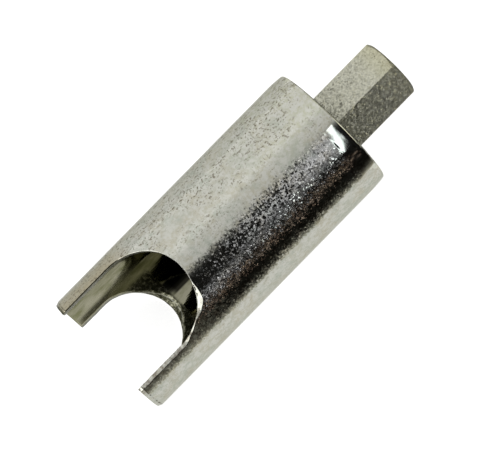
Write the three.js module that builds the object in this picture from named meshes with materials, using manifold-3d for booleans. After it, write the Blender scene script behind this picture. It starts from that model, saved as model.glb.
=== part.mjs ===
// Valve remover wrench: a round socket tube, notched into two prongs at one end, with a hexagon stub
// fixed into the other end so that a spanner or a socket can turn it.
//
// Millimetres, +Z up. The tool lies on its side on the plane z = 0, with the hexagon towards +X and
// the wide notch upwards. Every piece is modelled about the tool's own axis, which is local +Y from
// the prong tips (y = 0) to the hexagon, and the whole tool is then laid down.

import * as THREE from 'three';
import { mergeVertices } from 'three/addons/utils/BufferGeometryUtils.js';
import loadManifold from 'manifold-3d';

const manifold = await loadManifold();
manifold.setup();

// Socket tube
const TUBE_DIAMETER = 28;
const TUBE_WALL = 2;
const TUBE_LENGTH = 61.6;

// Prong tips: a turned chamfer outside and a broken edge in the bore
const TIP_CHAMFER_LENGTH = 0.8;
const TIP_CHAMFER_DEPTH = 0.35;
const BORE_CHAMFER = 0.3;

// Notches: slots open at the prong tips, each with a full-radius end, on opposite sides of the tube
const WIDE_NOTCH_WIDTH = 20.1;
const WIDE_NOTCH_DEPTH = 22;
const NARROW_NOTCH_WIDTH = 18;
const NARROW_NOTCH_DEPTH = 15;

// Drive-end rim: dressed to a slight taper and a rounded edge, with a flat land outside the weld
const RIM_TAPER_LENGTH = 3.6;
const RIM_TAPER_DROP = 0.2;
const RIM_ROUND = 0.4;
const RIM_LAND = 0.5;
const RIM_WELD_CROWN = 0.2;

// Round plug that closes the drive end
const PLUG_THICKNESS = 6;
const PLUG_CLEARANCE = 0.05;
const PLUG_LEAD = 0.5;

// Hexagon stub with a turned spigot through the plug
const HEX_ACROSS_FLATS = 12.7;
const HEX_LENGTH = 16;
const HEX_CHAMFER_INSET = 0.3;
const HEX_CHAMFER_ANGLE = THREE.MathUtils.degToRad(30);
const HEX_CLOCKING = THREE.MathUtils.degToRad(10);
const SPIGOT_SHOULDER = 1.35;
const SPIGOT_CLEARANCE = 0.05;
const SPIGOT_PROUD = 1.8;
const SPIGOT_CHAMFER = 0.3;
const SPIGOT_WELD_LEG = 1.5;
const SPIGOT_WELD_BULGE = 0.3;

// Facets of a full turn, and steps of a small arc or of a notch's round end
const ROUND_FACETS = 32;
const ARC_STEPS = 3;
const NOTCH_STEPS = 28;

// Overlap of cutters and joined solids past the faces that they cut or join
const OVERSHOOT = 2;

const tubeRadius = TUBE_DIAMETER / 2;
const boreRadius = tubeRadius - TUBE_WALL;
const rimRadius = tubeRadius - RIM_TAPER_DROP;
const rimBevel = TUBE_WALL - RIM_TAPER_DROP - RIM_ROUND - RIM_LAND;
const plugRadius = boreRadius - PLUG_CLEARANCE;
const plugInnerFace = TUBE_LENGTH - PLUG_THICKNESS;
const spigotRadius = HEX_ACROSS_FLATS / 2 - SPIGOT_SHOULDER;
const spigotEnd = plugInnerFace - SPIGOT_PROUD;
const hexEnd = TUBE_LENGTH + HEX_LENGTH;

// A turned shape about local Y. The profile's x is the radius and its outline runs anticlockwise.
// Facets touch the true circle at their middles, and one lies at the bottom, so that the tool rests on it.
function revolve(profile) {
  const halfFacet = Math.PI / ROUND_FACETS;
  const points = profile.getPoints(ARC_STEPS);
  for (const point of points) point.x /= Math.cos(halfFacet);
  return new THREE.LatheGeometry(points, ROUND_FACETS, halfFacet);
}

function toSolid(geometry) {
  geometry.deleteAttribute('normal');
  geometry.deleteAttribute('uv');
  const merged = mergeVertices(geometry);
  const corners = merged.index.array;
  const triangles = [];
  for (let i = 0; i < corners.length; i += 3) {
    const [a, b, c] = corners.slice(i, i + 3);
    const collapsed = a === b || b === c || c === a;
    if (!collapsed) triangles.push(a, b, c);
  }
  return new manifold.Manifold(new manifold.Mesh({
    numProp: 3,
    vertProperties: merged.attributes.position.array,
    triVerts: new Uint32Array(triangles),
  }));
}

function toGeometry(solid) {
  const { vertProperties, triVerts } = solid.getMesh();
  const geometry = new THREE.BufferGeometry();
  geometry.setAttribute('position', new THREE.BufferAttribute(vertProperties, 3));
  geometry.setIndex(new THREE.BufferAttribute(triVerts, 1));
  geometry.computeVertexNormals();
  return geometry;
}

// Cutter for one notch: a U outline in the local XY plane, extruded from the axis out through the wall.
function notchCutter(width, depth, side) {
  const radius = width / 2;
  const outline = new THREE.Shape();
  outline.moveTo(-radius, -OVERSHOOT);
  outline.lineTo(radius, -OVERSHOOT);
  outline.lineTo(radius, depth - radius);
  outline.absarc(0, depth - radius, radius, 0, Math.PI);
  outline.closePath();
  const reach = tubeRadius + OVERSHOOT;
  const cutter = new THREE.ExtrudeGeometry(outline, {
    depth: reach,
    curveSegments: NOTCH_STEPS,
    bevelEnabled: false,
  });
  if (side < 0) cutter.translate(0, 0, -reach);
  return toSolid(cutter);
}

function notchedTube() {
  const profile = new THREE.Path();
  profile.moveTo(boreRadius + BORE_CHAMFER, 0);
  profile.lineTo(tubeRadius - TIP_CHAMFER_DEPTH, 0);
  profile.lineTo(tubeRadius, TIP_CHAMFER_LENGTH);
  profile.lineTo(tubeRadius, TUBE_LENGTH - RIM_TAPER_LENGTH);
  profile.lineTo(rimRadius, TUBE_LENGTH - RIM_ROUND);
  profile.absarc(rimRadius - RIM_ROUND, TUBE_LENGTH - RIM_ROUND, RIM_ROUND, 0, Math.PI / 2);
  profile.lineTo(boreRadius + rimBevel, TUBE_LENGTH);
  profile.lineTo(boreRadius, TUBE_LENGTH - rimBevel);
  profile.lineTo(boreRadius, BORE_CHAMFER);
  profile.closePath();
  const tube = toSolid(revolve(profile));
  const wideNotch = notchCutter(WIDE_NOTCH_WIDTH, WIDE_NOTCH_DEPTH, 1);
  const narrowNotch = notchCutter(NARROW_NOTCH_WIDTH, NARROW_NOTCH_DEPTH, -1);
  return toGeometry(tube.subtract(wideNotch).subtract(narrowNotch));
}

// The plug sits flush in the tube's drive end. Its outer edge is bevelled to match the tube's bevel,
// and the two bevels form the groove that the rim weld fills.
function endPlug() {
  const plugBore = spigotRadius + SPIGOT_CLEARANCE;
  const profile = new THREE.Path();
  profile.moveTo(plugBore, plugInnerFace);
  profile.lineTo(plugRadius - PLUG_LEAD, plugInnerFace);
  profile.lineTo(plugRadius, plugInnerFace + PLUG_LEAD);
  profile.lineTo(plugRadius, TUBE_LENGTH - rimBevel);
  profile.lineTo(plugRadius - rimBevel, TUBE_LENGTH);
  profile.lineTo(plugBore, TUBE_LENGTH);
  profile.closePath();
  return revolve(profile);
}

function rimWeld() {
  const middle = (boreRadius + plugRadius) / 2;
  const profile = new THREE.Path();
  profile.moveTo(boreRadius, TUBE_LENGTH - rimBevel);
  profile.lineTo(boreRadius + rimBevel, TUBE_LENGTH);
  profile.quadraticCurveTo(middle, TUBE_LENGTH + 2 * RIM_WELD_CROWN, plugRadius - rimBevel, TUBE_LENGTH);
  profile.lineTo(plugRadius, TUBE_LENGTH - rimBevel);
  profile.closePath();
  return revolve(profile);
}

// Hexagon with a conical end chamfer, and the spigot that passes through the plug from its shoulder.
function hexDrive() {
  const cornerRadius = HEX_ACROSS_FLATS / Math.sqrt(3);
  const prism = new THREE.CylinderGeometry(cornerRadius, cornerRadius, HEX_LENGTH, 6, 1, false, HEX_CLOCKING);
  prism.translate(0, TUBE_LENGTH + HEX_LENGTH / 2, 0);

  const endRadius = HEX_ACROSS_FLATS / 2 - HEX_CHAMFER_INSET;
  const envelopeRadius = cornerRadius + OVERSHOOT;
  const chamferFall = (envelopeRadius - endRadius) * Math.tan(HEX_CHAMFER_ANGLE);
  const envelope = new THREE.Path();
  envelope.moveTo(0, TUBE_LENGTH);
  envelope.lineTo(envelopeRadius, TUBE_LENGTH);
  envelope.lineTo(envelopeRadius, hexEnd - chamferFall);
  envelope.lineTo(endRadius, hexEnd);
  envelope.lineTo(0, hexEnd);

  const spigot = new THREE.Path();
  spigot.moveTo(0, spigotEnd);
  spigot.lineTo(spigotRadius - SPIGOT_CHAMFER, spigotEnd);
  spigot.lineTo(spigotRadius, spigotEnd + SPIGOT_CHAMFER);
  spigot.lineTo(spigotRadius, TUBE_LENGTH + OVERSHOOT);
  spigot.lineTo(0, TUBE_LENGTH + OVERSHOOT);

  const hexagon = toSolid(prism).intersect(toSolid(revolve(envelope)));
  return toGeometry(hexagon.add(toSolid(revolve(spigot))));
}

// Fillet weld round the spigot, on the plug's inner face.
function spigotWeld() {
  const bulge = SPIGOT_WELD_LEG / 2 + SPIGOT_WELD_BULGE;
  const profile = new THREE.Path();
  profile.moveTo(spigotRadius, plugInnerFace - SPIGOT_WELD_LEG);
  profile.quadraticCurveTo(
    spigotRadius + bulge, plugInnerFace - bulge,
    spigotRadius + SPIGOT_WELD_LEG, plugInnerFace,
  );
  profile.lineTo(spigotRadius, plugInnerFace);
  profile.closePath();
  return revolve(profile);
}

function piece(name, geometry, finish) {
  const mesh = new THREE.Mesh(geometry, new THREE.MeshStandardMaterial({ metalness: 1, ...finish }));
  mesh.name = name;
  return mesh;
}

const tool = new THREE.Group();
tool.add(
  piece('notched_tube', notchedTube(), { color: 0xb9b7aa, roughness: 0.3 }),
  piece('end_plug', endPlug(), { color: 0xb0aea2, roughness: 0.4 }),
  piece('rim_weld', rimWeld(), { color: 0xa5a399, roughness: 0.45 }),
  piece('hex_drive', hexDrive(), { color: 0xb2b0a3, roughness: 0.38 }),
  piece('spigot_weld', spigotWeld(), { color: 0x8f8d84, roughness: 0.5 }),
);

// Lay the tool down: local +Y becomes +X, centred on the origin, with the lowest facet on z = 0.
tool.rotation.z = -Math.PI / 2;
tool.position.set(-hexEnd / 2, 0, tubeRadius);

const wrench = new THREE.Group();
wrench.add(tool);

export default wrench;
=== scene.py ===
import math
from collections import namedtuple

import bmesh
import bpy
import numpy as np
from mathutils import Matrix, Vector, noise


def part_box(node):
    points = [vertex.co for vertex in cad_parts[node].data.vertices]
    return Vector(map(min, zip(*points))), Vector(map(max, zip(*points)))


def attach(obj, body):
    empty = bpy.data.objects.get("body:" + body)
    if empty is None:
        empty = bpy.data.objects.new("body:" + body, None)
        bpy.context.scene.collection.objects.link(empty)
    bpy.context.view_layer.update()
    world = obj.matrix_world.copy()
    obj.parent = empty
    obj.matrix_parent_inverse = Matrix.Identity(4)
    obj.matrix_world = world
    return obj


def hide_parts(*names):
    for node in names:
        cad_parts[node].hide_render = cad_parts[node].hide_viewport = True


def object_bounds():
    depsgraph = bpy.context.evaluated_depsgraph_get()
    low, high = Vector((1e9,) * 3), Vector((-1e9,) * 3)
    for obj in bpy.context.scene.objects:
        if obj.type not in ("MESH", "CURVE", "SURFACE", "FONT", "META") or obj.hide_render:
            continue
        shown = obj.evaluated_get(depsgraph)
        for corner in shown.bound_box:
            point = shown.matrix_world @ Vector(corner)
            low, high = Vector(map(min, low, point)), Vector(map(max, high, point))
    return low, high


# Looks of the valve remover wrench: finely modelled metal pieces that replace the CAD solids, their zinc
# finish, and the photo's camera and light. The tool's sizes are in millimetres and the stage's in metres.

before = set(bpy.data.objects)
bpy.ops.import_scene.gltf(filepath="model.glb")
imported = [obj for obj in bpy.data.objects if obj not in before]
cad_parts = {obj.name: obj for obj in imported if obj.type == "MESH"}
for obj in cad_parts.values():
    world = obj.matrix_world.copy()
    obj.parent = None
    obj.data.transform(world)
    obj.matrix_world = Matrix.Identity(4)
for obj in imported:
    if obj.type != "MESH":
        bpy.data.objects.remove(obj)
cad_low, cad_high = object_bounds()

MM = 0.001

# Sizes and places taken from the frame. Lengths along the tool's axis count from the prong tips.
tube_low, tube_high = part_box("notched_tube")
hex_low, hex_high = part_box("hex_drive")
plug_low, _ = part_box("end_plug")
TIP_X = tube_low.x / MM
AXIS_Z = (tube_low.z + tube_high.z) / 2 / MM
TUBE_RADIUS = (tube_high.z - tube_low.z) / 2 / MM
TUBE_LENGTH = (tube_high.x - tube_low.x) / MM
PLUG_FACE = (plug_low.x - tube_low.x) / MM
HEX_END = (hex_high.x - tube_low.x) / MM
SPIGOT_END = (hex_low.x - tube_low.x) / MM
FOOT_X = TIP_X + TUBE_LENGTH

# Sizes of the tool's details
WALL = 2.0
BORE_RADIUS = TUBE_RADIUS - WALL
TIP_CHAMFER_LENGTH = 0.8
TIP_CHAMFER_DEPTH = 0.35
BORE_CHAMFER = 0.3
TIP_ROUND = 0.08
RIM_LENGTH = 3.6
RIM_SLOPE = 0.035
RIM_CROWN = 0.008
RIM_LIP_LENGTH = 1.25
RIM_LIP_CURVE = 0.045
RIM_UNEVENNESS = 0.02
RIM_ROUND = 0.4
RIM_BEVEL = 0.9
RIM_START = TUBE_LENGTH - RIM_LENGTH
PLUG_CLEARANCE = 0.05
PLUG_RADIUS = BORE_RADIUS - PLUG_CLEARANCE
PLUG_LEAD = 0.5
PLUG_EDGE = 0.1
HEX_APOTHEM = 6.35
HEX_CLOCKING = math.radians(10)
HEX_CHAMFER_ANGLE = math.radians(30)
HEX_CHAMFER_INSET = 0.48
SPIGOT_SHOULDER = 1.35
SPIGOT_RADIUS = HEX_APOTHEM - SPIGOT_SHOULDER
SPIGOT_CLEARANCE = 0.05
SPIGOT_CHAMFER = 0.3

# Mesh vertices closer than this, in metres, become one
MERGE_DISTANCE = 1e-7

# Shift between the noise of one seed and the next
NOISE_SHIFT = (7.31, 3.17, 5.73)


def place(u, radius, angle):
    """Frame position in metres of a point at u along the axis, at an angle from the top towards -Y."""
    u, radius, angle = np.broadcast_arrays(u, radius, angle)
    x = TIP_X + u
    y = -radius * np.sin(angle)
    z = AXIS_Z + radius * np.cos(angle)
    return np.stack([x, y, z], axis=-1) * MM


def ease(t):
    """Smooth step from 0 to 1."""
    t = np.clip(t, 0.0, 1.0)
    return t * t * (3 - 2 * t)


def smooth_steps(x, at, values):
    """The values given at some places, joined by smooth steps."""
    index = np.clip(np.searchsorted(at, x) - 1, 0, len(at) - 2)
    share = ease((x - at[index]) / (at[index + 1] - at[index]))
    return values[index] + (values[index + 1] - values[index]) * share


def hump(x, middle, half_width):
    """Smooth bump, 1 at the middle and 0 at half_width and beyond."""
    return ease(1 - np.abs(x - middle) / half_width)


def bend(start, middle, end, t):
    """Quadratic curve from start to end that leans to the middle point."""
    return (1 - t) ** 2 * start + 2 * t * (1 - t) * middle + t**2 * end


def spread(start, end, step):
    """Evenly spaced values from start up to, but without, end."""
    count = max(1, round((end - start) / step))
    return list(np.linspace(start, end, count, endpoint=False))


def rough(points, scale, seed):
    """Smooth noise, about -1 to 1, with features about 1/scale long in the unit of the points."""
    shift = Vector([seed * step for step in NOISE_SHIFT])
    return np.array([noise.noise(Vector(p) * scale + shift) for p in points])


def ring_faces(rings, steps, closed):
    """Faces between neighbouring rings of vertices, and from the last ring to the first if closed."""
    faces = []
    for j in range(rings if closed else rings - 1):
        this, following = j * steps, (j + 1) % rings * steps
        for i in range(steps):
            n = (i + 1) % steps
            faces.append((this + i, this + n, following + n, following + i))
    return faces


def add_object(name, data):
    """A new object in the scene."""
    made = bpy.data.objects.new(name, data)
    bpy.context.scene.collection.objects.link(made)
    return made


def make_piece(name, points, faces, material):
    """A smooth-shaded mesh object with outward faces."""
    mesh = bpy.data.meshes.new(name)
    mesh.from_pydata([tuple(p) for p in points], [], faces)
    work = bmesh.new()
    work.from_mesh(mesh)
    bmesh.ops.remove_doubles(work, verts=work.verts, dist=MERGE_DISTANCE)
    bmesh.ops.recalc_face_normals(work, faces=work.faces)
    work.to_mesh(mesh)
    work.free()
    mesh.shade_smooth()
    mesh.materials.append(material)
    return add_object(name, mesh)


def put(piece, node):
    """The piece stands for a CAD node and rides on the one body."""
    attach(piece, "root")
    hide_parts(node)


# Notched tube

# Broken edges: turn round the notch in degrees, reach over the wall's surface, and fall down the cut face
PLAIN_BREAK = ((-90, 0.2, 0.16), (90, 0.2, 0.16))
BORE_BREAK = ((-90, 0.12, 0.12), (90, 0.12, 0.12))
WIDE_BREAK = ((-90, 0.22, 0.2), (-60, 0.1, 0.1), (18, 0.06, 0.06), (45, 1.3, 1.1), (64, 0.25, 0.25),
              (78, 0.52, 0.45), (90, 1.22, 1.0))
TORN_BREAK = ((-90, 0.12, 0.15), (-50, 0.25, 0.3), (-30, 0.8, 0.8), (-15, 1.5, 1.1), (0, 1.75, 1.2),
              (14, 1.5, 1.1), (25, 0.8, 0.8), (45, 0.25, 0.3), (90, 0.12, 0.15))

# Most of the wall's thickness that the broken edge takes outside and in the bore
OUTER_BREAK_SHARE = 0.55
INNER_BREAK_SHARE = 0.62

# A fall above this was ground by hand. The grinding thins out where the tip's chamfer lies lower.
GROUND_BREAK = 0.4
LEAST_GROUND = 0.2

# Unevenness of the edges, calmed near the shoulders, where the round end starts
BREAK_FLATNESS = 0.95
BREAK_UNEVENNESS = 0.1
UNEVENNESS_SCALE = 1.3
UNEVENNESS_SEED = 10
EDGE_WANDER = 0.05
WANDER_SCALE = 0.9
EDGE_NOISE_WIDTH = 9
CALM_LENGTH = 2.5

# Lumps on the torn face of the narrow notch, strongest past the middle of the wall, towards the bore
TORN_HALF_WIDTH = math.radians(36)
TORN_ROUGHNESS = 0.14
TORN_SCALE = 1700
TORN_SEED = 5
TORN_LEAN = 1.5

# Unevenness of the rim, past a short even start and down to some depth
RIM_EVEN_START = 0.3
RIM_DRESSED_DEPTH = 1.2
RIM_SCALE = 420
RIM_SEED = 7

# Steps of the mesh along the tube, across a broken edge and down a cut face
TIP_ROUND_SHARES = (0, 0.08, 0.25, 0.5, 0.75)
CHAMFER_STEP = 0.12
SIDE_STEP = 0.4
ROUND_END_STEP = 0.42
BODY_STEP = 0.8
RIM_STEP = 0.15
RIM_ROUND_STEPS = 8
BEND_STEPS = 5
FACE_STEPS = 3

# Columns across a prong as shares of its width, with one close to each edge
PRONG_STEPS = 26
PRONG_EDGE = 0.004
PRONG_SHARES = [PRONG_EDGE] + [k / PRONG_STEPS for k in range(1, PRONG_STEPS)] + [1 - PRONG_EDGE]

# Length over which the tube's columns bend round the notches, and the angle by which they fan out
FORK_END = 28.0
FAN_OUT = 0.12


class Notch:
    """A slot open at the prong tips, with a full-radius end, centred on one side of the tube."""

    def __init__(self, side_angle, half_width, centre, depth, breaks, steps, seed):
        self.side_angle = side_angle
        self.half_width = half_width
        self.centre = centre
        self.shoulder = depth - half_width
        self.outer_break, self.inner_break = breaks
        self.steps = steps
        self.seed = seed
        self.turns = np.linspace(-math.pi / 2, math.pi / 2, steps + 1)
        self.top_angle = math.asin(half_width / BORE_RADIUS) + FAN_OUT
        self.row = 0


WIDE = Notch(side_angle=0.0, half_width=10.03, centre=-0.17, depth=22.0,
             breaks=(WIDE_BREAK, BORE_BREAK), steps=96, seed=1)
NARROW = Notch(side_angle=math.pi, half_width=9.0, centre=0.0, depth=15.0,
               breaks=(PLAIN_BREAK, TORN_BREAK), steps=84, seed=2)

fork_rows = np.array(
    [TIP_ROUND * share for share in TIP_ROUND_SHARES]
    + spread(TIP_ROUND, TIP_CHAMFER_LENGTH, CHAMFER_STEP)
    + spread(TIP_CHAMFER_LENGTH, NARROW.shoulder, SIDE_STEP)
    + spread(NARROW.shoulder, WIDE.shoulder, SIDE_STEP)
    + spread(WIDE.shoulder, FORK_END, ROUND_END_STEP)
)

# Each notch's round end starts at the row on its shoulder
for each_notch in (WIDE, NARROW):
    each_notch.row = int(np.argmin(np.abs(fork_rows - each_notch.shoulder)))


def tip_rounding(u):
    """How far the rounded edges of a prong tip fall back from its chamfers."""
    corner = np.clip(1 - u / TIP_ROUND, 0, 1)
    return TIP_ROUND * (1 - np.sqrt(1 - corner**2))


def outer_radius(u):
    """Outside of the tube: chamfered tips, plain body, and a rim that curves in a little."""
    tip = TIP_CHAMFER_DEPTH * np.clip(1 - u / TIP_CHAMFER_LENGTH, 0, 1)
    into_rim = np.clip(u - RIM_START, 0, RIM_LENGTH)
    into_lip = np.clip(u - (TUBE_LENGTH - RIM_LIP_LENGTH), 0, RIM_LIP_LENGTH)
    rim = RIM_SLOPE * into_rim + RIM_CROWN * into_rim**2 + RIM_LIP_CURVE * into_lip**2
    return TUBE_RADIUS - tip - tip_rounding(u) - rim


def inner_radius(u):
    """Bore of the tube, with a broken edge at the tips."""
    tip = BORE_CHAMFER * np.clip(1 - u / BORE_CHAMFER, 0, 1)
    return BORE_RADIUS + tip + tip_rounding(u)


# A notch's edge from tip to tip: the sharp edge, the fall of the broken one, and where that leaves the wall
Edge = namedtuple("Edge", "turns u radius angle fall surface_angle surface_u")


def notch_edge(notch, radius_at, table):
    """The edge that a notch makes in the surface with these radii, broken as the table says."""
    sides = fork_rows[: notch.row]
    round_end = notch.shoulder + notch.half_width * np.cos(notch.turns)
    u = np.concatenate([sides, round_end, sides[::-1]])
    first, last = notch.turns[0], notch.turns[-1]
    turns = np.concatenate([np.full(notch.row, first), notch.turns, np.full(notch.row, last)])
    radius = radius_at(u)
    spots = np.stack([u, EDGE_NOISE_WIDTH * np.sin(turns), 0 * turns], axis=-1)
    away = 1 - hump(u, notch.shoulder, CALM_LENGTH)
    wander = EDGE_WANDER * away * rough(spots, WANDER_SCALE, notch.seed)
    uneven = 1 + BREAK_UNEVENNESS * away * rough(spots, UNEVENNESS_SCALE, notch.seed + UNEVENNESS_SEED)
    u = u + wander * np.cos(turns)
    angle = np.arcsin((notch.centre + (notch.half_width + wander) * np.sin(turns)) / radius)
    at, reaches, falls = np.array(table).T
    reach, fall = (uneven * smooth_steps(np.degrees(turns), at, values) for values in (reaches, falls))
    lowered = np.abs(radius - radius_at(FORK_END))
    ground = np.where(fall > GROUND_BREAK, np.clip(1 - lowered / fall, LEAST_GROUND, 1), 1)
    surface_angle = angle + ground * reach * np.sin(turns) / radius
    surface_u = u + ground * reach * np.cos(turns)
    return Edge(turns, u, radius, angle, ground * fall, surface_angle, surface_u)


class Wall:
    """One surface of the tube's wall as rows of columns: angle, u and radius, and which points exist."""

    def __init__(self, radius_at, edges, rows_beyond):
        self.edges = edges
        self.columns = []
        for notch, following, turn in ((WIDE, NARROW, 0), (NARROW, WIDE, 2 * math.pi)):
            first, last = self.side_columns(notch)
            self.add_column(first)
            self.add_round_end(notch)
            self.add_column(last)
            self.add_prong(last, self.side_columns(following)[0] + turn)
        self.stack(radius_at(fork_rows), np.array(rows_beyond))

    def past_shoulder(self, notch):
        """Share of the way from the notch's shoulder to the fork's end, row by row."""
        start = fork_rows[notch.row]
        return np.clip((fork_rows - start) / (FORK_END - start), 0, 1)

    def side_columns(self, notch):
        """Angles of the two columns that run along a notch's sides and on to the fork's end."""
        share = self.past_shoulder(notch)
        surface = self.edges[notch].surface_angle
        columns = []
        for side, top in ((surface, -notch.top_angle), (surface[::-1], notch.top_angle)):
            beyond = np.full(len(fork_rows) - notch.row - 1, side[notch.row])
            angle = np.concatenate([side[: notch.row + 1], beyond])
            columns.append(notch.side_angle + angle + (top - angle) * share)
        return columns

    def add_column(self, angle, along=fork_rows, first_row=0):
        self.columns.append((angle, along, np.arange(len(fork_rows)) >= first_row))

    def add_prong(self, first, last):
        for share in PRONG_SHARES:
            self.add_column(first + (last - first) * share)

    def add_round_end(self, notch):
        """Columns that start on a notch's round end and even out up to the fork's end."""
        edge = self.edges[notch]
        share = self.past_shoulder(notch)
        for k in range(1, notch.steps):
            angle, along = edge.surface_angle[notch.row + k], edge.surface_u[notch.row + k]
            top = notch.top_angle * notch.turns[k] / (math.pi / 2)
            angle = notch.side_angle + angle + (top - angle) * share
            self.add_column(angle, along + (FORK_END - along) * share, notch.row)

    def stack(self, radius, beyond):
        """Arrays of the fork's rows and of those beyond it, given as u and radius."""
        angle, along, exists = (np.array(values).T for values in zip(*self.columns))
        shape = (len(beyond), len(self.columns))
        self.angle = np.vstack([angle, np.broadcast_to(angle[-1], shape)])
        self.along = np.vstack([along, np.broadcast_to(beyond[:, :1], shape)])
        fork_radius = np.broadcast_to(radius[:, None], angle.shape)
        self.radius = np.vstack([fork_radius, np.broadcast_to(beyond[:, 1:], shape)])
        self.exists = np.vstack([exists, np.full(shape, True)])


def rim_profile():
    """Rows of the outside past the fork, over the rounded rim and down into the weld's groove."""
    round_start = TUBE_LENGTH - RIM_ROUND
    lengths = spread(FORK_END, RIM_START, BODY_STEP) + spread(RIM_START, round_start, RIM_STEP)
    rows = [(u, outer_radius(u)) for u in lengths]
    centre = outer_radius(round_start) - RIM_ROUND
    for turn in np.linspace(0, math.pi / 2, RIM_ROUND_STEPS):
        rows.append((round_start + RIM_ROUND * math.sin(turn), centre + RIM_ROUND * math.cos(turn)))
    return rows + [(TUBE_LENGTH, BORE_RADIUS + RIM_BEVEL), (TUBE_LENGTH - RIM_BEVEL, BORE_RADIUS)]


def bore_profile():
    """Rows of the bore past the fork, up to the weld's groove."""
    return [(u, BORE_RADIUS) for u in spread(FORK_END, TUBE_LENGTH - RIM_BEVEL, BODY_STEP)]


def dress_rim(wall):
    """Makes the hand-dressed rim slightly uneven, in place."""
    past_start = wall.along > RIM_START + RIM_EVEN_START
    in_rim = past_start & (wall.radius > TUBE_RADIUS - RIM_DRESSED_DEPTH)
    spots = place(wall.along[in_rim], wall.radius[in_rim], wall.angle[in_rim])
    wall.radius[in_rim] += RIM_UNEVENNESS * rough(spots, RIM_SCALE, RIM_SEED)


class TubeMesh:
    """Collects the vertices and faces of the tube's closed surface."""

    def __init__(self):
        self.points = []
        self.faces = []

    def add_points(self, points):
        first = len(self.points)
        self.points.extend(points.reshape(-1, 3))
        return np.arange(first, len(self.points))

    def add_face(self, corners):
        """A face, unless one of its corners doesn't exist."""
        if min(corners) >= 0:
            self.faces.append(tuple(int(corner) for corner in corners))

    def join_rows(self, row, following):
        """Faces between two closed rows of vertices."""
        for i in range(len(row)):
            n = (i + 1) % len(row)
            self.add_face((row[i], row[n], following[n], following[i]))

    def add_wall(self, wall):
        """Adds a wall's vertices and faces, and returns the vertices by row and column."""
        ids = np.full(wall.angle.shape, -1)
        at = wall.exists
        ids[at] = self.add_points(place(wall.along[at], wall.radius[at], wall.angle[at]))
        for row, following in zip(ids, ids[1:]):
            self.join_rows(row, following)
        return ids


def edge_ids(ids, notch, first_column):
    """Vertices of a wall along a notch's broken edge, from tip to tip."""
    last_column = first_column + notch.steps
    up = ids[: notch.row, first_column]
    round_end = ids[notch.row, first_column : last_column + 1]
    down = ids[: notch.row, last_column][::-1]
    return np.concatenate([up, round_end, down])


def inner_bend(start, middle, end, count):
    """Inner points of the curves between two rows of points."""
    t = np.linspace(0, 1, count + 2)[1:-1]
    return bend(start[:, None], middle[:, None], end[:, None], t[None, :, None])


def flattened(corner, start, end):
    """The corner of a broken edge, moved most of the way to the middle of its ends."""
    return corner + BREAK_FLATNESS * ((start + end) / 2 - corner)


def cut_strip(notch, outer, outer_points, inner, inner_points):
    """Points across a notch's cut face, between those where its broken edges leave the wall."""
    outer_edge = place(outer.u, outer.radius, notch.side_angle + outer.angle)
    inner_edge = place(inner.u, inner.radius, notch.side_angle + inner.angle)
    thickness = np.linalg.norm(inner_edge - outer_edge, axis=1)[:, None]
    across = (inner_edge - outer_edge) / thickness
    outer_low = outer_edge + across * np.minimum(outer.fall[:, None] * MM, OUTER_BREAK_SHARE * thickness)
    inner_high = inner_edge - across * np.minimum(inner.fall[:, None] * MM, INNER_BREAK_SHARE * thickness)
    outer_corner = flattened(outer_edge, outer_points, outer_low)
    inner_corner = flattened(inner_edge, inner_points, inner_high)
    return np.concatenate([
        inner_bend(outer_points, outer_corner, outer_low, BEND_STEPS),
        outer_low[:, None],
        inner_bend(outer_low, (outer_low + inner_high) / 2, inner_high, FACE_STEPS),
        inner_high[:, None],
        inner_bend(inner_high, inner_corner, inner_points, BEND_STEPS),
    ], axis=1)


def tear(strip, turns):
    """Makes the middle of a cut face lumpy, in place."""
    lumps = rough(strip.reshape(-1, 3), TORN_SCALE, TORN_SEED).reshape(strip.shape[:2])
    torn = hump(turns, 0, TORN_HALF_WIDTH)[:, None]
    inward = np.linspace(0, 1, strip.shape[1])[None, :]
    strip[..., 2] += TORN_ROUGHNESS * MM * lumps * torn * np.sin(math.pi * inward**TORN_LEAN)


def add_cut_face(mesh, notch, outer, outer_ids, inner, inner_ids):
    """The cut face of a notch with its broken edges, joined to both surfaces and closed at the tips."""
    points = np.array(mesh.points)
    strip = cut_strip(notch, outer, points[outer_ids], inner, points[inner_ids])
    if notch is NARROW:
        tear(strip, outer.turns)
    ids = mesh.add_points(strip).reshape(strip.shape[:2])
    ids = np.concatenate([outer_ids[:, None], ids, inner_ids[:, None]], axis=1)
    for line, following in zip(ids, ids[1:]):
        for m in range(len(line) - 1):
            mesh.add_face((line[m], following[m], following[m + 1], line[m + 1]))
    mesh.add_face(ids[0])
    mesh.add_face(ids[-1])


def notched_tube(material):
    mesh = TubeMesh()
    outer_edges = {notch: notch_edge(notch, outer_radius, notch.outer_break) for notch in (WIDE, NARROW)}
    inner_edges = {notch: notch_edge(notch, inner_radius, notch.inner_break) for notch in (WIDE, NARROW)}
    outside = Wall(outer_radius, outer_edges, rim_profile())
    dress_rim(outside)
    outer_ids = mesh.add_wall(outside)
    inner_ids = mesh.add_wall(Wall(inner_radius, inner_edges, bore_profile()))
    mesh.join_rows(outer_ids[-1], inner_ids[-1])
    mesh.join_rows(outer_ids[0], inner_ids[0])
    for notch, first_column in ((WIDE, 0), (NARROW, WIDE.steps + len(PRONG_SHARES) + 1)):
        add_cut_face(mesh, notch, outer_edges[notch], edge_ids(outer_ids, notch, first_column),
                     inner_edges[notch], edge_ids(inner_ids, notch, first_column))
    return make_piece("socket_tube", mesh.points, mesh.faces, material)


# Turned pieces

PLUG_STEPS = 128
PLUG_RINGS = 12
RIM_WELD_STEPS = 192
RIM_WELD_RINGS = 14
RIM_WELD_CROWN = 0.16
SPIGOT_WELD_STEPS = 720
SPIGOT_WELD_RINGS = 16
SPIGOT_WELD_LEG = 1.5
SPIGOT_WELD_BULGE = 0.3

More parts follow.
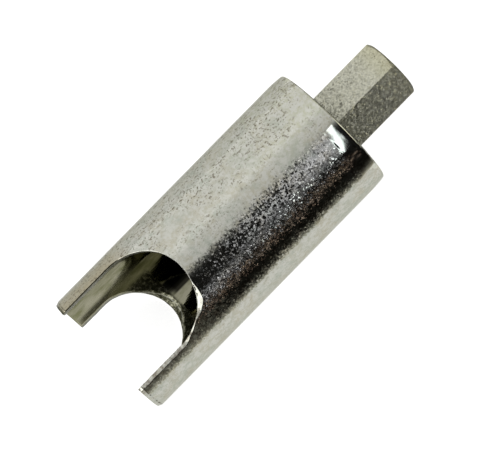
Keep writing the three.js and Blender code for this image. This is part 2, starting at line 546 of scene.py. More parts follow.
# Hand grinding of the rim's bead, as waves of height, count round the rim and phase
RIM_WELD_WAVES = ((0.05, 3, 0.7), (0.035, 7, 2.1), (0.02, 19, 0.0))
RIM_WELD_HUMP = (0.5, 0.45)

# Ripples of the spigot's bead: count, height, how far they bow forward at its edges, and lean of their lift
RIPPLES = 34
RIPPLE_HEIGHT = 0.07
RIPPLE_BOW = 2.16 * math.pi
RIPPLE_HUMP = (0.48, 0.46)
RIPPLE_LEAN = 0.7


def turned(name, profile, steps, material, wobble=None):
    """A closed turned piece. Wobble adds to u and to the radius, from the angle and the profile's share."""
    profile = np.array(profile)
    angles = np.linspace(0, 2 * math.pi, steps, endpoint=False)[None, :]
    u, radius = profile[:, :1], profile[:, 1:]
    if wobble:
        add_u, add_radius = wobble(angles, np.linspace(0, 1, len(profile))[:, None])
        u = u + add_u
        radius = radius + add_radius
    points = place(u, radius, angles).reshape(-1, 3)
    return make_piece(name, points, ring_faces(len(profile), steps, closed=True), material)


def end_plug(material):
    bore = SPIGOT_RADIUS + SPIGOT_CLEARANCE
    inside = [(PLUG_FACE, bore), (PLUG_FACE, PLUG_RADIUS - PLUG_LEAD), (PLUG_FACE + PLUG_LEAD, PLUG_RADIUS),
              (TUBE_LENGTH - RIM_BEVEL, PLUG_RADIUS)]
    rings = np.linspace(PLUG_RADIUS - RIM_BEVEL, bore + PLUG_EDGE, PLUG_RINGS)
    profile = inside + [(TUBE_LENGTH, radius) for radius in rings] + [(TUBE_LENGTH - PLUG_EDGE, bore)]
    return turned("end_plug_disc", profile, PLUG_STEPS, material)


def dressed(angle, share):
    """Uneven grinding: the bead's height varies slowly round the rim."""
    lift = sum(height * np.sin(count * angle + phase) for height, count, phase in RIM_WELD_WAVES)
    return lift * hump(share, *RIM_WELD_HUMP), 0


def rim_weld(material):
    outer, inner = BORE_RADIUS + RIM_BEVEL, PLUG_RADIUS - RIM_BEVEL
    bead = []
    for share in np.linspace(0, 1, RIM_WELD_RINGS):
        height = RIM_WELD_CROWN * (1 - (2 * share - 1) ** 2)
        bead.append((TUBE_LENGTH + height, outer + (inner - outer) * share))
    groove = TUBE_LENGTH - RIM_BEVEL
    profile = [(groove, BORE_RADIUS)] + bead + [(groove, PLUG_RADIUS)]
    return turned("rim_weld_ring", profile, RIM_WELD_STEPS, material, dressed)


def rippled(angle, share):
    """Curved ripples, as a hand-laid bead has."""
    wave = np.cos(RIPPLES * angle + RIPPLE_BOW * (2 * share - 1) ** 2)
    lift = RIPPLE_LEAN * RIPPLE_HEIGHT * wave * hump(share, *RIPPLE_HUMP)
    return -lift, lift


def spigot_weld(material):
    bulge = SPIGOT_WELD_LEG / 2 + SPIGOT_WELD_BULGE
    start = np.array((PLUG_FACE - SPIGOT_WELD_LEG, SPIGOT_RADIUS))
    middle = np.array((PLUG_FACE - bulge, SPIGOT_RADIUS + bulge))
    end = np.array((PLUG_FACE, SPIGOT_RADIUS + SPIGOT_WELD_LEG))
    bead = [bend(start, middle, end, share) for share in np.linspace(0, 1, SPIGOT_WELD_RINGS)]
    profile = bead + [(PLUG_FACE, SPIGOT_RADIUS)]
    return turned("spigot_weld_bead", profile, SPIGOT_WELD_STEPS, material, rippled)


# Hexagon stub

HEX_HALF_SECTOR = math.radians(30)
HEX_FLATS = [HEX_CLOCKING + (2 * k + 1) * HEX_HALF_SECTOR for k in range(6)]

# Powers that round the corners and the chamfer's edges. A higher one leaves them sharper.
HEX_CORNER_POWER = 180
HEX_CHAMFER_POWER = 70

# Steps of the mesh round one flat and along it, the rows next to its ends, and the rings that close them
HEX_STEPS = 56
HEX_STEP = 0.5
HEX_CHAMFER_STEP = 0.04
HEX_CHAMFER_REACH = 1.1
HEX_FOOT_ROWS = (0.02, 0.1)
HEX_LAST_ROW = 0.015
HEX_END_SHARES = (0.985, 0.95, 0.88, 0.75, 0.6, 0.45, 0.3)
SPIGOT_END_SHARE = 0.5


def rounded_least(first, second, power):
    """About the lesser of two lengths, with a smooth change from one to the other."""
    return (first**-power + second**-power) ** (-1 / power)


def hex_radius(angle):
    """Radius of a hexagon with slightly rounded corners."""
    total = sum(np.clip(np.cos(angle - flat), 0, 1) ** HEX_CORNER_POWER for flat in HEX_FLATS)
    return HEX_APOTHEM * total ** (-1 / HEX_CORNER_POWER)


def hex_rings(angles):
    """Rings of u and radius at these angles, from the spigot's end to the hexagon's end."""
    even = np.ones_like(angles)
    spigot = [(SPIGOT_END, SPIGOT_END_SHARE * SPIGOT_RADIUS), (SPIGOT_END, SPIGOT_RADIUS - SPIGOT_CHAMFER),
              (SPIGOT_END + SPIGOT_CHAMFER, SPIGOT_RADIUS), (TUBE_LENGTH, SPIGOT_RADIUS)]
    rings = [(u, radius * even) for u, radius in spigot]
    flats = hex_radius(angles)
    end_radius = HEX_APOTHEM - HEX_CHAMFER_INSET
    chamfer_start = HEX_END - HEX_CHAMFER_REACH
    foot, second = HEX_FOOT_ROWS
    lengths = [TUBE_LENGTH + foot] + spread(TUBE_LENGTH + second, chamfer_start, HEX_STEP)
    lengths += spread(chamfer_start, HEX_END, HEX_CHAMFER_STEP) + [HEX_END - HEX_LAST_ROW]
    for u in lengths:
        cone = end_radius + (HEX_END - u) / math.tan(HEX_CHAMFER_ANGLE)
        rings.append((u, rounded_least(flats, cone, HEX_CHAMFER_POWER)))
    return rings + [(HEX_END, end_radius * share * even) for share in HEX_END_SHARES]


def hex_drive(material):
    share = np.linspace(-1, 1, HEX_STEPS, endpoint=False)
    crowded_to_corners = HEX_HALF_SECTOR * (1.5 * share - 0.5 * share**3)
    angles = np.concatenate([flat + crowded_to_corners for flat in HEX_FLATS])
    rings = hex_rings(angles)
    points = np.concatenate([place(u, radius, angles) for u, radius in rings])
    faces = ring_faces(len(rings), len(angles), closed=False)
    faces.append(tuple(range(len(angles))))
    faces.append(tuple(range(len(points) - len(angles), len(points))))
    return make_piece("hex_stub", points, faces, material)


# Materials

# Fine crystals of the plating are this much smaller than the large ones
FINE_CRYSTALS = 1.8


class Nodes:
    """Short calls for building a metal's node tree."""

    def __init__(self, name):
        self.material = bpy.data.materials.new(name)
        self.material.use_nodes = True
        self.tree = self.material.node_tree
        self.shader = self.tree.nodes["Principled BSDF"]
        self.shader.inputs["Metallic"].default_value = 1.0
        self.place = self.add("ShaderNodeTexCoord").outputs["Object"]
        self.x, self.y, self.z = self.add("ShaderNodeSeparateXYZ", {"Vector": self.place}).outputs

    def fill(self, socket, value):
        """Links a socket to another node's output, or sets it to a constant."""
        if isinstance(value, bpy.types.NodeSocket):
            self.tree.links.new(value, socket)
        else:
            socket.default_value = value

    def add(self, kind, inputs=None, operation=None):
        """A node with some of its inputs filled."""
        node = self.tree.nodes.new(kind)
        if operation:
            node.operation = operation
        for name, value in (inputs or {}).items():
            self.fill(node.inputs[name], value)
        return node

    def shade(self, name, value):
        """Fills an input of the metal's shader."""
        self.fill(self.shader.inputs[name], value)

    def math(self, operation, first, *others):
        """The operation on a value and each of the others in turn, or on the value alone."""
        for other in others or (0.0,):
            first = self.add("ShaderNodeMath", {0: first, 1: other}, operation).outputs[0]
        return first

    def vector(self, operation, inputs):
        return self.add("ShaderNodeVectorMath", inputs, operation).outputs["Vector"]

    def times(self, *factors):
        return self.math("MULTIPLY", *factors)

    def largest(self, *values):
        return self.math("MAXIMUM", *values)

    def plus(self, first, second):
        return self.math("ADD", first, second)

    def less(self, first, second):
        return self.math("SUBTRACT", first, second)

    def step(self, value, span, levels=(0.0, 1.0)):
        """Smooth step from one level to another while the value goes over a span."""
        names = ("Value", "From Min", "From Max", "To Min", "To Max")
        node = self.add("ShaderNodeMapRange", dict(zip(names, (value, *span, *levels))))
        node.interpolation_type = "SMOOTHSTEP"
        return node.outputs["Result"]

    def rise(self, length, span, levels=(0.0, 1.0)):
        """Smooth step while a coordinate or a length in metres goes over a span in millimetres."""
        return self.step(length, (span[0] * MM, span[1] * MM), levels)

    def moved(self, x_scale, offset):
        """The frame's place, stretched along X and shifted by an offset in metres."""
        inputs = {"Vector": self.place, "Scale": (x_scale, 1, 1), "Location": offset}
        return self.add("ShaderNodeMapping", inputs).outputs["Vector"]

    def axis_distance(self):
        """Distance from the tool's axis, in metres."""
        from_axis = self.moved(0, (0, 0, -AXIS_Z * MM))
        return self.add("ShaderNodeVectorMath", {0: from_axis}, "LENGTH").outputs["Value"]

    def noise(self, scale, detail, roughness=0.55, x_scale=1.0, offset=(0, 0, 0)):
        """Noise with features about 1/scale metres long. A small x_scale draws them out along the tool."""
        vector = self.place if x_scale == 1.0 else self.moved(x_scale, offset)
        inputs = {"Vector": vector, "Scale": scale, "Detail": detail, "Roughness": roughness}
        return self.add("ShaderNodeTexNoise", inputs).outputs["Fac"]

    def patches(self, span, levels=(0.0, 1.0), **look):
        """Patches where the noise with this look goes over a span."""
        return self.step(self.noise(**look), span, levels)

    def mix(self, factor, first, second):
        """A mix of two colours, each an output or a constant."""
        node = self.tree.nodes.new("ShaderNodeMix")
        node.data_type = "RGBA"
        self.fill(node.inputs[0], factor)
        for colour, socket in ((first, node.inputs[6]), (second, node.inputs[7])):
            self.fill(socket, (*colour, 1) if isinstance(colour, tuple) else colour)
        return node.outputs[2]

    def facets(self, scale, tilt):
        """The surface normal, tilted differently on each crystal. Fine crystals grow among large ones."""
        normal = self.add("ShaderNodeNewGeometry").outputs["Normal"]
        for size in (1.0, FINE_CRYSTALS):
            cells = self.add("ShaderNodeTexVoronoi", {"Vector": self.place, "Scale": scale * size})
            lean = self.vector("SUBTRACT", {0: cells.outputs["Color"], 1: (0.5, 0.5, 0.5)})
            lean = self.vector("SCALE", {0: lean, "Scale": self.math("DIVIDE", tilt, size)})
            normal = self.vector("ADD", {0: normal, 1: lean})
        return self.vector("NORMALIZE", {0: normal})

    def bump(self, height, distance, under):
        """A normal with bumps of a height up to this distance in metres, over another normal."""
        inputs = {"Height": height, "Distance": distance, "Strength": 1.0, "Normal": under}
        return self.add("ShaderNodeBump", inputs).outputs["Normal"]


def tinted(tint, level):
    """The tint made darker or paler."""
    return tuple(part * level for part in tint)


# Extra room that crowded pits take in their noise, and how softly their patches end on satin zinc
CROWDED_PITS = 0.03
PATCH_SOFTNESS = 0.2


def pitted(n, colour, dirt_and_shade, crowd, depth):
    """Dark pits over a colour, where the crowd factor lets them: the new colour, and where the pits are."""
    more = n.times(crowd, CROWDED_PITS)
    small = n.less(n.noise(scale=2600, detail=2, roughness=0.5), more)
    large = n.less(n.noise(scale=1500, detail=2, x_scale=0.7, offset=(0.3, 0.1, 0.2)), more)
    pit = n.times(n.largest(n.step(small, (0.4, 0.31)), n.step(large, (0.38, 0.29))), crowd)
    return n.mix(n.times(pit, depth), colour, dirt_and_shade), pit


# The tube's colours
PALE_ZINC = (0.55, 0.55, 0.495)
WARM_ZINC = (0.46, 0.445, 0.365)
COOL_ZINC = (0.43, 0.45, 0.39)
OLIVE_ZINC = (0.465, 0.47, 0.365)
BROWN_STAIN = (0.4, 0.355, 0.245)
PIT_DIRT = (0.15, 0.13, 0.09)
# Dark brown for patches on the -Y flank
FLANK_BROWN = (0.16, 0.13, 0.1)
# Painted shade along the edge of the tips' chamfers
CHAMFER_EDGE_SHADE = (0.1, 0.095, 0.07)
DARK_CUT = (0.035, 0.035, 0.02)
PALE_CUT = (0.24, 0.235, 0.17)
PALE_BORE = (0.29, 0.28, 0.205)
OLIVE_BORE = (0.165, 0.167, 0.092)
# Painted shade deep in the bore
BORE_SHADE_COLOUR = (0.012, 0.011, 0.008)
MIRROR_TINT = (0.6, 0.6, 0.56, 1)

# Places on the tube, in millimetres of the frame. Going from the first number to the second, a mask rises.
OLIVE_X = (-6, 20)
OLIVE_Y = (-4, 4)
PITTED_Y = (-4, 6)
PITTED_Z = (11, 20)
FAR_SIDE_Y = (6, 9.5)
FAR_PRONG_X = (-20, -27)
FAR_PRONG_Y = (8, 9.5)
STAIN_Z = (20, 28.5)
BAND_TOP_Y = (0.6, -1.4)
BAND_END_Y = (-12.2, -10.8)
FLANK_Y = (-6.2, -7.8)
FLANK_PATCH_END_Y = (-12.2, -10.6)
FLANK_PATCH_Z = (15.5, 18)
COARSE_X = (-20, 4)
CALM_RIM_X = (6, 16.5)
CUT_X = (-10, -14)
CUT_FAR_Y = (0, 2)
CUT_LOW_Z = (7, 5)
NICKS_Y = (-8.5, -9)
NICKS_Z = (16, 17.5)
TORN_X = (-21.6, -22.2)
TORN_END_X = (-29.5, -26.5)
TORN_Z = (5.4, 4.4)
# Where painted shade blackens the bore
BORE_SHADE_X = (-22.5, -20.5)
BORE_SHADE_Y = (0.6, 1)
BORE_SHADE_END_Y = (8.5, 6)
INNER_BORE_SHADE_X = (-16.5, -14.5)
DULL_BORE_X = (-21, -26)
RIM_X = (TIP_X + RIM_START - 0.1, TIP_X + RIM_START + 0.2)

# Distances from the chamfer's edge and from the tool's axis, used in the same way
CHAMFER_EDGE = (0.2, 0.08)
BORE_SKIN = (BORE_RADIUS + 0.5, BORE_RADIUS + 0.2)
CUT_DEPTH = (TUBE_RADIUS - 0.06, TUBE_RADIUS - 0.25)
NICKS_DEPTH = (TUBE_RADIUS - 0.4, TUBE_RADIUS - 0.6)

# Unevenness of the brown stain's edge and depth of the bumps, in metres
STAIN_WANDER = 0.008
GRAIN_DEPTH = 0.000008
STREAK_DEPTH = 0.00001

# Tilt of the crystals, what coarse ones add in the dark band, their number per metre, and worn roughness
PLAIN_TILT = 0.034
COARSE_TILT = 0.08
CRYSTALS = 2700
WORN_ROUGHNESS = 0.2


def zinc_colour(n):
    """Mottled zinc that turns olive towards the rim on the far side."""
    colour = n.mix(n.patches((0.38, 0.62), scale=260, detail=4), WARM_ZINC, COOL_ZINC)
    olive = n.times(n.rise(n.x, OLIVE_X), n.rise(n.y, OLIVE_Y, (0.0, 0.75)),
                    n.patches((0.35, 0.6), (0.3, 1.0), scale=180, detail=3))
    colour = n.mix(olive, colour, OLIVE_ZINC)
    mottle = n.plus(n.noise(scale=620, detail=3, roughness=0.6), n.noise(scale=1700, detail=3, roughness=0.6))
    return n.mix(n.step(mottle, (0.78, 1.22)), colour, PALE_ZINC)


def pit_crowd(n, far_prong):
    """Where pits crowd: in patches on top, along the far side, and on the far prong."""
    top = n.times(n.patches((0.36, 0.54), scale=260, detail=3, roughness=0.6, x_scale=0.5),
                  n.rise(n.y, PITTED_Y, (0.25, 1.0)))
    far_side = n.times(n.rise(n.y, FAR_SIDE_Y), n.patches((0.4, 0.55), scale=420, detail=3, x_scale=0.4))
    crowd = n.largest(top, far_side, n.times(far_prong, 0.9))
    return n.times(crowd, n.rise(n.z, PITTED_Z, (0.3, 1.0)))


def outside_colour(n):
    """Zinc with pits, brown dirt on the far prong, dark brown patches in the dark band and painted shade at
    the chamfers' edge.
    """
    far_prong = n.times(n.rise(n.x, FAR_PRONG_X), n.rise(n.y, FAR_PRONG_Y))
    height = n.plus(n.z, n.times(n.noise(scale=900, detail=4, roughness=0.65), STAIN_WANDER))
    stain = n.times(far_prong, n.rise(height, STAIN_Z, (0.05, 0.9)))
    colour = n.mix(stain, zinc_colour(n), BROWN_STAIN)
    colour, pit = pitted(n, colour, PIT_DIRT, pit_crowd(n, far_prong), 0.85)
    # Dark brown patches on the -Y flank, in the dark band
    flank_patches = n.times(n.rise(n.y, FLANK_Y), n.rise(n.y, FLANK_PATCH_END_Y), n.rise(n.z, FLANK_PATCH_Z),
                   n.patches((0.44, 0.57), (0.0, 0.7), scale=1000, detail=4, roughness=0.65))
    colour = n.mix(flank_patches, colour, FLANK_BROWN)
    # Painted shade in a patchy line along the edge of the tips' chamfers
    from_edge = n.math("ABSOLUTE", n.less(n.x, (TIP_X + TIP_CHAMFER_LENGTH) * MM))
    dirt_and_shade = n.times(n.rise(from_edge, CHAMFER_EDGE),
                   n.patches((0.42, 0.58), (0.1, 0.85), scale=1500, detail=2))
    return n.mix(dirt_and_shade, colour, CHAMFER_EDGE_SHADE), pit


def bore_colour(n):
    """A dull, stained bore, black with painted shade where it gets deep."""
    stain = n.patches((0.35, 0.68), scale=700, detail=4, roughness=0.6, x_scale=0.3)
    bore_shade = n.times(n.rise(n.x, BORE_SHADE_X), n.rise(n.y, BORE_SHADE_Y), n.rise(n.y, BORE_SHADE_END_Y))
    bore_shade = n.largest(bore_shade, n.rise(n.x, INNER_BORE_SHADE_X))
    return n.mix(n.times(bore_shade, 0.95), n.mix(stain, PALE_BORE, OLIVE_BORE), BORE_SHADE_COLOUR)


def cut_faces(n, distance, bore):
    """Mask of the notches' cut faces, apart from the near side of the wide notch."""
    side = n.largest(n.rise(n.y, CUT_FAR_Y), n.rise(n.z, CUT_LOW_Z))
    cut = n.times(n.rise(distance, CUT_DEPTH), side, n.less(n.rise(n.x, CUT_X), bore))
    return n.largest(cut, 0.0)


def nicked_edge(n, distance):
    """Mask of the dirty nicks in the ground edge of the near prong."""
    return n.times(n.rise(distance, NICKS_DEPTH), n.rise(n.y, NICKS_Y), n.rise(n.z, NICKS_Z),
                   n.patches((0.5, 0.6), (0.0, 0.6), scale=2100, detail=2))


def tube_normal(n, bore, plated):
    """Plating crystals outside, coarser in the dark band than elsewhere, and drawn streaks in the bore."""
    coarse = n.times(n.rise(n.y, BAND_TOP_Y), n.rise(n.y, BAND_END_Y), plated,
                     n.rise(n.x, COARSE_X, (0.16, 0.75)), n.rise(n.x, CALM_RIM_X, (1.0, 0.2)))
    flank = n.times(n.rise(n.y, FLANK_Y), n.rise(n.y, BAND_END_Y, (0.0, 0.06)))
    tilt = n.plus(n.times(coarse, COARSE_TILT), n.plus(flank, PLAIN_TILT))
    grain = n.times(n.noise(scale=1900, detail=1, roughness=0.5), plated)
    streaks = n.times(n.noise(scale=1500, detail=2, x_scale=0.06), bore)
    normal = n.bump(grain, GRAIN_DEPTH, n.facets(CRYSTALS, n.times(tilt, plated)))
    return n.bump(streaks, STREAK_DEPTH, normal)


def tube_material():
    """Bright zinc crystals outside a drawn tube, a dull stained bore, dirty cut faces and a dressed rim."""
    n = Nodes("tube_zinc")
    distance = n.axis_distance()
    bore = n.rise(distance, BORE_SKIN)
    cut = cut_faces(n, distance, bore)
    torn = n.times(n.rise(n.x, TORN_X), n.rise(n.x, TORN_END_X), n.rise(n.z, TORN_Z))
    dirty = n.mix(n.patches((0.46, 0.66), scale=1500, detail=4, roughness=0.7), DARK_CUT, PALE_CUT)
    outside, pit = outside_colour(n)
    outside = n.mix(n.largest(cut, nicked_edge(n, distance)), outside, dirty)
    n.shade("Base Color", n.mix(bore, outside, n.mix(torn, bore_colour(n), dirty)))
    n.shade("Specular Tint", MIRROR_TINT)
    roughness = n.patches((0.3, 0.7), (0.05, 0.08), scale=350, detail=3)
    roughness = n.plus(roughness, n.times(n.largest(pit, cut, torn), WORN_ROUGHNESS))
    n.shade("Roughness", n.plus(roughness, n.times(bore, n.rise(n.x, DULL_BORE_X, (-0.02, 0.1)))))
    plated = n.less(1.0, n.largest(bore, n.rise(n.x, RIM_X)))
    n.shade("Normal", tube_normal(n, bore, plated))
    return n.material


# Wear and painted shade of the satin pieces: places along the hexagon and across it, aged colour, and
# unevenness in metres. The painted shade lies at the hexagon's foot and in blotches on its shaded flat.
FOOT_SHADE_X = (FOOT_X + 1.9, FOOT_X + 0.7)
SHADE_BLOTCHES_X = (FOOT_X + 2, FOOT_X + 12)
AGED_X = (FOOT_X + 10.5, FOOT_X + 16)
SHADED_FLAT_Y = (-1.2, -1.5)
AGED_ZINC = (0.5, 0.485, 0.335)
FOOT_WANDER = 0.0012


def worn_and_shaded(n, colour, tint):
    """Painted shade up to the hexagon's foot, blotchy painted shade on its shaded flat, and yellowed zinc
    towards its end.
    """
    along = n.plus(n.x, n.times(n.noise(scale=500, detail=3), FOOT_WANDER))
    # Painted shade at the hexagon's foot, where it stands on the rim
    colour = n.mix(n.rise(along, FOOT_SHADE_X, (0.0, 0.55)), colour, tinted(tint, 0.25))
    # Blotchy painted shade on the hexagon's shaded flat, which also deepens its mottling
    shade_blotches = n.times(n.patches((0.44, 0.58), scale=1500, detail=3, roughness=0.6),
                       n.rise(n.y, SHADED_FLAT_Y), n.rise(n.x, SHADE_BLOTCHES_X, (0.3, 0.65)))
    colour = n.mix(shade_blotches, colour, tinted(tint, 0.42))
    aged = n.times(n.rise(along, AGED_X, (0.0, 0.65)), n.rise(n.y, SHADED_FLAT_Y, (1.0, 0.3)))
    return n.mix(aged, colour, AGED_ZINC)


def satin_zinc(name, tint, roughness, grain, tilt, crowding):
    """Duller zinc on turned, drawn or welded steel: mottled, with coarser crystals and dirt in the pits."""
    n = Nodes(name)
    mottle = n.patches((0.38, 0.62), scale=grain, detail=3, roughness=0.6)
    colour = n.mix(mottle, tinted(tint, 0.8), tinted(tint, 1.1))
    crowd = n.patches((crowding, crowding + PATCH_SOFTNESS), scale=220, detail=3, roughness=0.6)
    colour, pit = pitted(n, colour, tinted(tint, 0.3), crowd, 0.6)
    n.shade("Base Color", worn_and_shaded(n, colour, tint))
    satin = n.patches((0.3, 0.7), (0.85 * roughness, 1.15 * roughness), scale=400, detail=3)
    n.shade("Roughness", n.plus(satin, n.times(pit, WORN_ROUGHNESS)))
    lean = n.patches((0.3, 0.7), (0.8 * tilt, 1.2 * tilt), scale=600, detail=2)
    n.shade("Normal", n.facets(grain, lean))
    return n.material


tube_zinc = tube_material()
hex_zinc = satin_zinc("hex_zinc", (0.515, 0.512, 0.425), roughness=0.46, grain=3000, tilt=0.65, crowding=0.36)
plug_zinc = satin_zinc("plug_zinc", (0.46, 0.455, 0.4), roughness=0.34, grain=2600, tilt=0.25, crowding=0.42)
weld_zinc = satin_zinc("weld_zinc", (0.45, 0.445, 0.4), roughness=0.36, grain=2000, tilt=0.3, crowding=0.36)

put(notched_tube(tube_zinc), "notched_tube")
put(hex_drive(hex_zinc), "hex_drive")
put(end_plug(plug_zinc), "end_plug")
put(rim_weld(weld_zinc), "rim_weld")
put(spigot_weld(weld_zinc), "spigot_weld")


# Camera: above the tool, leaning towards -Y, with the tool's axis slanting up to the right in the picture

CAMERA_TARGET = Vector((-2.3, -2.3, 13.7)) * MM
CAMERA_DISTANCE = 440 * MM
CAMERA_LENS = 165.6
CAMERA_LEAN = math.radians(8.4)
CAMERA_TILT = math.radians(2.05)
CAMERA_CLIP = (0.01, 20)
AXIS_SLANT = math.radians(45.57)


def add_camera():
    level = Vector((0, math.sin(CAMERA_LEAN), -math.cos(CAMERA_LEAN)))
    axis = Vector((1, 0, 0))
    into = level * math.cos(CAMERA_TILT) + axis * math.sin(CAMERA_TILT)
    along = axis * math.cos(CAMERA_TILT) - level * math.sin(CAMERA_TILT)
    right = along * math.cos(AXIS_SLANT) + into.cross(along) * math.sin(AXIS_SLANT)
    up = right.cross(into)
    data = bpy.data.cameras.new("camera")
    data.lens = CAMERA_LENS
    data.clip_start, data.clip_end = CAMERA_CLIP
    camera = add_object("camera", data)
    turn = Matrix((right, up, -into)).transposed().to_4x4()
    camera.matrix_world = Matrix.Translation(CAMERA_TARGET - into * CAMERA_DISTANCE) @ turn
    bpy.context.scene.camera = camera


# Stage and light, in metres

WHITE = (1, 1, 1)
COOL_WHITE = (0.86, 0.93, 1.0)

# A round paper floor that glows a little where it is seen, just below the tool
FLOOR_RADIUS = 3.0
FLOOR_SIDES = 48
FLOOR_GAP = 0.00004
FLOOR_COLOUR = (0.8, 0.8, 0.8, 1)
FLOOR_ROUGHNESS = 0.9
FLOOR_SHINE = 0.1
FLOOR_GLOW = 0.8

# Strength of the white surroundings as a light and as seen
WORLD_LIGHT = 0.45
WORLD_SEEN = 1.0


def by_sight(tree, unseen, seen):
    """One level for rays from the camera and mirrored or refracted ones, and another for all the rest."""
    path = tree.nodes.new("ShaderNodeLightPath")
    total = path.outputs["Is Camera Ray"]
    for name in ("Is Glossy Ray", "Is Transmission Ray"):
        either = tree.nodes.new("ShaderNodeMath")
        either.operation = "MAXIMUM"
        tree.links.new(total, either.inputs[0])
        tree.links.new(path.outputs[name], either.inputs[1])
        total = either.outputs[0]
    level = tree.nodes.new("ShaderNodeMapRange")
    level.inputs["To Min"].default_value = unseen
    level.inputs["To Max"].default_value = seen
    tree.links.new(total, level.inputs["Value"])
    return level.outputs[0]


def stage_material(name, mesh, colour, shine):
    """A new material on a mesh of the stage: its node tree and its shader."""
    material = bpy.data.materials.new(name)
    material.use_nodes = True
    mesh.materials.append(material)
    shader = material.node_tree.nodes["Principled BSDF"]
    shader.inputs["Base Color"].default_value = colour
    shader.inputs["Specular IOR Level"].default_value = shine
    return material.node_tree, shader


def add_floor():
    mesh = bpy.data.meshes.new("floor")
    turns = np.linspace(0, 2 * math.pi, FLOOR_SIDES, endpoint=False)
    corners = [(FLOOR_RADIUS * math.cos(t), FLOOR_RADIUS * math.sin(t), 0) for t in turns]
    mesh.from_pydata(corners, [], [tuple(range(FLOOR_SIDES))])
    floor = add_object("floor", mesh)
    floor.location.z = cad_low.z - FLOOR_GAP
    tree, shader = stage_material("floor_paper", mesh, FLOOR_COLOUR, FLOOR_SHINE)
    shader.inputs["Roughness"].default_value = FLOOR_ROUGHNESS
    shader.inputs["Emission Color"].default_value = (*WHITE, 1)
    tree.links.new(by_sight(tree, 0.0, FLOOR_GLOW), shader.inputs["Emission Strength"])


def add_world():
    world = bpy.data.worlds.new("studio")
    bpy.context.scene.world = world
    world.use_nodes = True
    tree = world.node_tree
    background = tree.nodes["Background"]
    background.inputs["Color"].default_value = (*WHITE, 1)
    tree.links.new(by_sight(tree, WORLD_LIGHT, WORLD_SEEN), background.inputs["Strength"])


# A half-round tent over the tool: angle from the top towards -Y in degrees, and the grey level there
TENT_RADIUS = 0.62
TENT_LEVELS = ((-88, 1.04), (-76, 1.05), (-64, 1.0), (-45, 1.05), (-30, 1.12), (-19, 0.88), (1, 0.76),
               (5, 0.56), (9, 0.15), (13, 0.03), (20, 0.012), (90, 0.012))
TENT_TURNS = (-88, 90)
TENT_ROWS = 179

# Columns of the tent along X: few far from the tool, and many over it
TENT_LEFT = [-1.0, -0.2]
TENT_MIDDLE = (-0.1, 0.26)
TENT_MIDDLE_COLUMNS = 73
TENT_RIGHT = [0.4, 1.0]

# Latticed pools of light on the tent's dark side: x, turn in degrees, their half sizes, and the colour
TENT_POOLS = (
    (0.085, 26, 0.08, 26, (0.95, 0.955, 1.06)),
    (0.09, 9, 0.07, 8, (0.8, 0.78, 0.78)),
    (-0.005, 51, 0.07, 14, (0.55, 0.555, 0.62)),
    (0.03, 67, 0.2, 11, (0.23, 0.18, 0.15)),
)
POOLS_START = 7

# The pools' lattice: its spacing and brightness, and where it evens out towards the rim
LATTICE_X = 0.075
LATTICE_TURN = 8.0
LATTICE_LIGHT = 4
EVEN_SHARE = 0.75
EVEN_X = 0.07
EVEN_END = 60
EVEN_FADE = 8

# A low card in front of the tool, from the floor up: height and shade. Its fork end is a little brighter.
FRONT_CARD_Y = -0.07
FRONT_CARD = {0.0: 0.75, 0.006: 0.3, 0.014: 0.06, 0.022: 0.012, 0.04: 0.012}
FRONT_CARD_X = (-0.5, -0.025, -0.015, 0.5)
FRONT_CARD_FORK = -0.02
FRONT_CARD_FORK_LIGHT = 0.13
FRONT_CARD_TINT = (1.0, 0.98, 0.86)

# Cards on the floor: name, reach along X, and grey level by Y
FLOOR_CARD_Z = 0.0005
FLOOR_CARDS = (
    ("front_floor_card", (-0.3, 0.03), {-0.068: 0.95, -0.03: 1.06, -0.016: 1.2}),
    ("back_floor_card", (-0.3, 0.03), {0.02: 1.05, 0.045: 0.95, 0.065: 0.93}),
    ("far_floor_card", (-0.3, 0.3), {0.065: 0.93, 0.12: 0.92, 0.62: 1.02}),
    ("end_floor_card", (0.045, 0.2), {-0.05: 0.12, 0.06: 0.12}),
)

# Upright cards beyond the tool's ends: level by height, and for the hexagon's one on its -Y and +Y side
FORK_CARD_X = -0.5
FORK_CARD_Y = (-0.6, 0.6)
FORK_CARD = {0.02: 0.02, 0.06: 0.02, 0.08: 2.2, 0.5: 2.2, 0.55: 0.5}
HEXAGON_CARD_X = 0.5
HEXAGON_CARD_Y = (-0.6, -0.08, 0.04, 0.6)
HEXAGON_CARD = {0.03: (0.1, 0.1), 0.09: (0.1, 0.1), 0.13: (0.6, 0.6), 0.2: (2.0, 0.6), 0.55: (2.0, 0.6)}
HEXAGON_CARD_TINT = (1.0, 0.97, 0.8)


def add_card(name, columns, rows, spot, shade):
    """A glowing card that only the metal's reflections show: the camera, the floor and shadows ignore it."""
    grid = [(column, row) for row in rows for column in columns]
    width = len(columns)
    faces = []
    for j in range(len(rows) - 1):
        for at in range(j * width, (j + 1) * width - 1):
            faces.append((at, at + 1, at + width + 1, at + width))
    mesh = bpy.data.meshes.new(name)
    mesh.from_pydata([spot(*cell) for cell in grid], [], faces)
    shade_layer = mesh.color_attributes.new("shade", "FLOAT_COLOR", "POINT")
    for point, cell in zip(shade_layer.data, grid):
        point.color = (*shade(*cell), 1)
    tree, shader = stage_material(name, mesh, colour=(0, 0, 0, 1), shine=0.0)
    shader.inputs["Emission Strength"].default_value = 1.0
    layer = tree.nodes.new("ShaderNodeVertexColor")
    layer.layer_name = shade_layer.name
    tree.links.new(layer.outputs["Color"], shader.inputs["Emission Color"])
    card = add_object(name, mesh)
    card.visible_camera = False
    card.visible_diffuse = False
    card.visible_shadow = False


def on_tent(x, turn):
    return x, -TENT_RADIUS * math.sin(math.radians(turn)), TENT_RADIUS * math.cos(math.radians(turn))


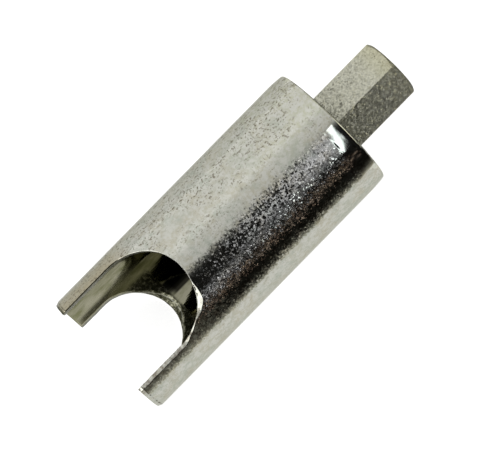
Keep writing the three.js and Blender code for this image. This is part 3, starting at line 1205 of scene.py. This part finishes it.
def tent_shade(x, turn):
    """The tent's grey, with the pools of light on its dark side."""
    turns, levels = zip(*TENT_LEVELS)
    colour = np.full(3, np.interp(turn, turns, levels))
    if turn > POOLS_START:
        wave = math.cos(2 * math.pi * x / LATTICE_X) * math.cos(2 * math.pi * turn / LATTICE_TURN)
        even = EVEN_SHARE * ease(x / EVEN_X) * ease((EVEN_END - turn) / EVEN_FADE)
        lattice = even + (1 - even) * LATTICE_LIGHT * max(0, wave)
        for pool_x, pool_turn, half_x, half_turn, light in TENT_POOLS:
            colour += lattice * hump(x, pool_x, half_x) * hump(turn, pool_turn, half_turn) * np.array(light)
    return colour


def add_tent():
    """A half-round card over the tool, pale on the +Y side and dark on the -Y side."""
    middle = list(np.linspace(*TENT_MIDDLE, TENT_MIDDLE_COLUMNS))
    rows = np.linspace(*TENT_TURNS, TENT_ROWS)
    add_card("light_tent", TENT_LEFT + middle + TENT_RIGHT, rows, on_tent, tent_shade)


def front_card_shade(x, z):
    fork_light = FRONT_CARD_FORK_LIGHT if x < FRONT_CARD_FORK else 0
    return tinted(FRONT_CARD_TINT, FRONT_CARD[z] + fork_light)


def hexagon_card_shade(y, z):
    near_level, far_level = HEXAGON_CARD[z]
    return tinted(HEXAGON_CARD_TINT, near_level if y < 0 else far_level)


def add_cards():
    """The cards in front of the tool, on the floor and beyond the tool's ends."""
    add_card("front_card", FRONT_CARD_X, list(FRONT_CARD), lambda x, z: (x, FRONT_CARD_Y, z),
             front_card_shade)
    for name, columns, levels in FLOOR_CARDS:
        add_card(name, columns, list(levels), lambda x, y: (x, y, FLOOR_CARD_Z),
                 lambda x, y, levels=levels: tinted(WHITE, levels[y]))
    add_card("fork_card", FORK_CARD_Y, list(FORK_CARD), lambda y, z: (FORK_CARD_X, y, z),
             lambda y, z: tinted(WHITE, FORK_CARD[z]))
    add_card("hexagon_card", HEXAGON_CARD_Y, list(HEXAGON_CARD), lambda y, z: (HEXAGON_CARD_X, y, z),
             hexagon_card_shade)


def add_lamp(name, position, target, along, size, power, colour):
    """A rectangular soft lamp with its long side along a line."""
    data = bpy.data.lights.new(name, "AREA")
    data.color = colour
    data.shape = "RECTANGLE"
    data.size, data.size_y = size
    data.energy = power
    lamp = add_object(name, data)
    back = (Vector(position) - Vector(target)).normalized()
    side = Vector(along).cross(back).normalized()
    turn = Matrix((side, back.cross(side), back)).transposed().to_4x4()
    lamp.matrix_world = Matrix.Translation(position) @ turn


add_camera()
add_floor()
add_tent()
add_cards()
add_world()
add_lamp("strip", position=(0.118, -0.232, 0.455), target=(0.022, 0, 0.014), along=(0, 1, 0),
         size=(0.026, 0.4), power=0.085, colour=COOL_WHITE)
add_lamp("softbox", position=(-0.1, 0.5, 0.8), target=(0, 0, 0.014), along=(1, 0, 0),
         size=(0.5, 0.7), power=0.9, colour=WHITE)

bpy.context.scene.view_settings.view_transform = "Standard"
